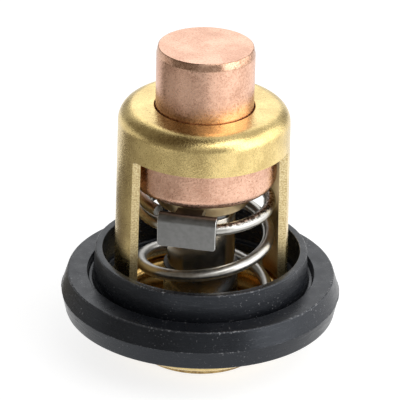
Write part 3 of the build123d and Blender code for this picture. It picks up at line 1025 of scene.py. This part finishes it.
# %% Spring piece
spring = make_piece(
    "return_spring_wound", spring_bm, [wire_steel], "housing", "return_spring",
)
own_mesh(spring)

# %% [markdown]
# ## Strap
# A strip of steel is bent over the spring's top turn at both ends and swaged to the
# stem, so the spring pushes the stem up. The CAD solid already has the bends and
# the cut-outs. What it lacks are the broken edges that catch the light, so a copy
# of its mesh is merged, its flat faces are joined up, and its sharp edges get a
# narrow bevel. On the two tabs, which stand in the windows, the bevels get a much
# lighter steel, a painted highlight.

# %% Strap
edge_break = 0.11
sharp_bend = radians(60)
flat_limit = radians(0.5)
tab_reach = 12.4
strap_turn = radians(-22.5)
along_strap = Vector((-sin(strap_turn), cos(strap_turn), 0))
strap_bm = bmesh.new()
strap_bm.from_mesh(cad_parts["spring_retainer"].data)
bmesh.ops.remove_doubles(strap_bm, verts=strap_bm.verts, dist=weld_distance)
bmesh.ops.dissolve_limit(
    strap_bm, angle_limit=flat_limit, verts=strap_bm.verts, edges=strap_bm.edges,
)
sharp_edges = [
    edge for edge in strap_bm.edges
    if len(edge.link_faces) == 2 and edge.calc_face_angle() > sharp_bend
]
for face in strap_bm.faces:
    face.material_index = 0
broken = bmesh.ops.bevel(
    strap_bm, geom=sharp_edges, offset=edge_break * mm, offset_type="OFFSET", segments=2,
    profile=0.5, affect="EDGES", material=-1,
)
# Bevels on the tabs get the lighter steel, a painted highlight.
for face in broken["faces"]:
    if abs(face.calc_center_median().dot(along_strap)) / mm > tab_reach:
        face.material_index = 1
print("strap edges broken", len(sharp_edges))
strap_finishes = [strip_steel, strip_edge_painted_highlight]
make_piece("strap_bent", strap_bm, strap_finishes, "valve", "spring_retainer")

# %% [markdown]
# ## Camera
# A long lens over half a metre away shows the far side hardly smaller than the near
# side. The camera looks down at 28 degrees from a little left of the front window
# and is rolled by a degree or so. It aims at the flange, inside the ring, and is
# shifted to frame the whole part.

# %% Camera
camera_turn = radians(-11)
camera_rise = radians(27.62)
camera_roll = radians(1.42)
camera_distance = 539.35
aim = Vector((0, 0, flange_top))
away = Vector((
    sin(camera_turn) * cos(camera_rise), -cos(camera_turn) * cos(camera_rise), sin(camera_rise),
))
camera_data = bpy.data.cameras.new("camera")
camera_data.sensor_width = 36
camera_data.lens = 270
camera_data.shift_x = -0.0005
camera_data.shift_y = 0.21675
camera_data.clip_start = 0.01
camera = bpy.data.objects.new("camera", camera_data)
scene.collection.objects.link(camera)
camera.location = (aim + away * camera_distance) * mm
facing = (-away).to_track_quat("-Z", "Y").to_matrix() @ Matrix.Rotation(camera_roll, 3, "Z")
camera.rotation_euler = facing.to_euler()
scene.camera = camera
print("camera at", [round(value, 3) for value in camera.location])

# %% [markdown]
# ## Floor and white background
# The part stands on a pale floor. The floor is lit at a plain level and takes the
# part's shadow, and on top of that it glows for rays that see it directly, which
# takes it to white without more light on the part. The world does the same.


# %% Rays that see the background
def seen_directly(nodes, links):
    """1 for camera, glossy and transmission rays, 0 for the light that falls on the part."""
    path = nodes.new("ShaderNodeLightPath")
    first = combined(
        nodes, links, "MAXIMUM", path.outputs["Is Camera Ray"], path.outputs["Is Glossy Ray"],
    )
    return combined(nodes, links, "MAXIMUM", first, path.outputs["Is Transmission Ray"])


# %% Floor
floor_reach = 3.0
floor_tone = 0.42
white_level = 0.80
floor_bm = bmesh.new()
bmesh.ops.create_grid(floor_bm, x_segments=1, y_segments=1, size=floor_reach)
floor_material, nodes, links, shader = new_material("floor")
floor = mesh_object("floor", floor_bm, [floor_material])
shader.inputs["Base Color"].default_value = (floor_tone, floor_tone, floor_tone, 1)
shader.inputs["Roughness"].default_value = 0.9
shader.inputs["Specular IOR Level"].default_value = 0.1
glow = nodes.new("ShaderNodeEmission")
glow_strength = combined(nodes, links, "MULTIPLY", seen_directly(nodes, links), white_level)
links.new(glow_strength, glow.inputs["Strength"])
both = nodes.new("ShaderNodeAddShader")
links.new(shader.outputs["BSDF"], both.inputs[0])
links.new(glow.outputs["Emission"], both.inputs[1])
links.new(both.outputs["Shader"], nodes["Material Output"].inputs["Surface"])

# %% World
world_level = 0.35
world = bpy.data.worlds.new("world")
scene.world = world
world.use_nodes = True
nodes, links = world.node_tree.nodes, world.node_tree.links
lit = nodes["Background"]
lit.inputs["Color"].default_value = (1, 1, 1, 1)
lit.inputs["Strength"].default_value = world_level
shown = nodes.new("ShaderNodeBackground")
shown.inputs["Strength"].default_value = 1.0
choose = nodes.new("ShaderNodeMixShader")
links.new(seen_directly(nodes, links), choose.inputs["Fac"])
links.new(lit.outputs["Background"], choose.inputs[1])
links.new(shown.outputs["Background"], choose.inputs[2])
links.new(choose.outputs["Shader"], nodes["World Output"].inputs["Surface"])
print("floor tone", floor_tone, "white level", white_level, "world level", world_level)

# %% [markdown]
# ## Lamps and cards
# Polished metal shows its surroundings, so its look is made by what stands round
# it. Softboxes light the part from the upper right, the right and behind. Brown and
# grey cards in front, on the left and behind give the metal something dark to
# mirror, so that round pieces read as round. The cards show in reflections only:
# they neither shade the part nor appear in the picture.

# %% Directions round the part
part_middle = Vector((0, 0, 30)) * mm


def direction_from_part(turn, rise):
    """Unit vector at this turn to the right of the camera and this rise, in degrees."""
    angle = camera_turn + radians(turn)
    tilt = radians(rise)
    return Vector((sin(angle) * cos(tilt), -cos(angle) * cos(tilt), sin(tilt)))


def span(distance, angle):
    """How wide a thing is that fills this angle at this distance."""
    return 2 * distance * tan(radians(angle) / 2)


# %% Softboxes
lamp_distance = 0.50


def softbox(name, turn, rise, wide, high, radiance):
    """An area lamp aimed at the part; wide and high are angles, radiance is how bright it looks."""
    lamp_data = bpy.data.lights.new(name, "AREA")
    lamp_data.shape = "RECTANGLE"
    lamp_data.size = span(lamp_distance, wide)
    lamp_data.size_y = span(lamp_distance, high)
    area = lamp_data.size * lamp_data.size_y
    lamp_data.energy = radiance * pi * area
    lamp = bpy.data.objects.new(name, lamp_data)
    scene.collection.objects.link(lamp)
    direction = direction_from_part(turn, rise)
    lamp.location = part_middle + direction * lamp_distance
    lamp.rotation_euler = (-direction).to_track_quat("-Z", "Y").to_euler()
    print(name, round(lamp_data.energy, 3), "W")


softbox("key softbox", turn=34, rise=52, wide=42, high=28, radiance=2.2)
softbox("front right softbox", turn=58, rise=13, wide=32, high=42, radiance=2.0)
softbox("right softbox", turn=92, rise=17, wide=48, high=54, radiance=1.4)
softbox("back softbox", turn=178, rise=34, wide=44, high=34, radiance=0.7)


# %% Cards
def card_paint(name, colour):
    """A flat tone that looks the same from anywhere."""
    material, nodes, links, _ = new_material(name)
    tone = nodes.new("ShaderNodeEmission")
    tone.inputs["Color"].default_value = (*colour, 1)
    links.new(tone.outputs["Emission"], nodes["Material Output"].inputs["Surface"])
    return material


def card(name, matrix, paint):
    """A flat card, one metre square before the matrix, that only reflections show."""
    card_bm = bmesh.new()
    bmesh.ops.create_grid(card_bm, x_segments=1, y_segments=1, size=0.5, matrix=matrix)
    board = mesh_object(name, card_bm, [paint])
    board.visible_camera = False
    board.visible_diffuse = False
    board.visible_shadow = False
    board.visible_transmission = False


def standing_card(name, turn, rise, wide, high, paint, distance=0.30):
    """A card round the part, whose place and size are angles."""
    direction = direction_from_part(turn, rise)
    size = Vector((span(distance, wide), span(distance, high), 1))
    place = part_middle + direction * distance
    card(name, Matrix.LocRotScale(place, (-direction).to_track_quat("Z", "Y"), size), paint)


def lying_card(name, right, forward, wide, deep, paint, lift=0.0004):
    """A card on the floor, its place and size in metres as the camera sees them."""
    place = direction_from_part(90, 0) * right + direction_from_part(0, 0) * forward
    place.z = lift
    turned = Matrix.Rotation(camera_turn, 3, "Z")
    card(name, Matrix.LocRotScale(place, turned, Vector((wide, deep, 1))), paint)


brown_card = card_paint("brown card", (0.09, 0.07, 0.05))
dim_card = card_paint("dim card", (0.22, 0.20, 0.17))
grey_card = card_paint("grey card", (0.42, 0.41, 0.39))
pale_card = card_paint("pale card", (0.43, 0.425, 0.415))
standing_card("left front card", turn=-52, rise=56, wide=64, high=70, paint=brown_card)
standing_card("low left card", turn=-48, rise=5, wide=66, high=34, paint=dim_card)
standing_card("left card", turn=-104, rise=38, wide=50, high=50, paint=dim_card)
standing_card("left rear card", turn=-146, rise=14, wide=36, high=30, paint=pale_card)
standing_card("front card", turn=8, rise=4, wide=64, high=36, paint=grey_card, distance=0.36)
standing_card("right rear card", turn=142, rise=12, wide=22, high=26, paint=grey_card)
lying_card("left floor card", right=-0.335, forward=0.0365, wide=0.60, deep=0.113, paint=grey_card)
lying_card(
    "left rear floor card", right=-0.335, forward=-0.0425, wide=0.60, deep=0.045, paint=dim_card,
)
lying_card(
    "front floor card", right=-0.050, forward=0.195, wide=0.14, deep=0.21, paint=pale_card, lift=0.0008,
)

# %% Finish
scene.view_settings.view_transform = "Standard"
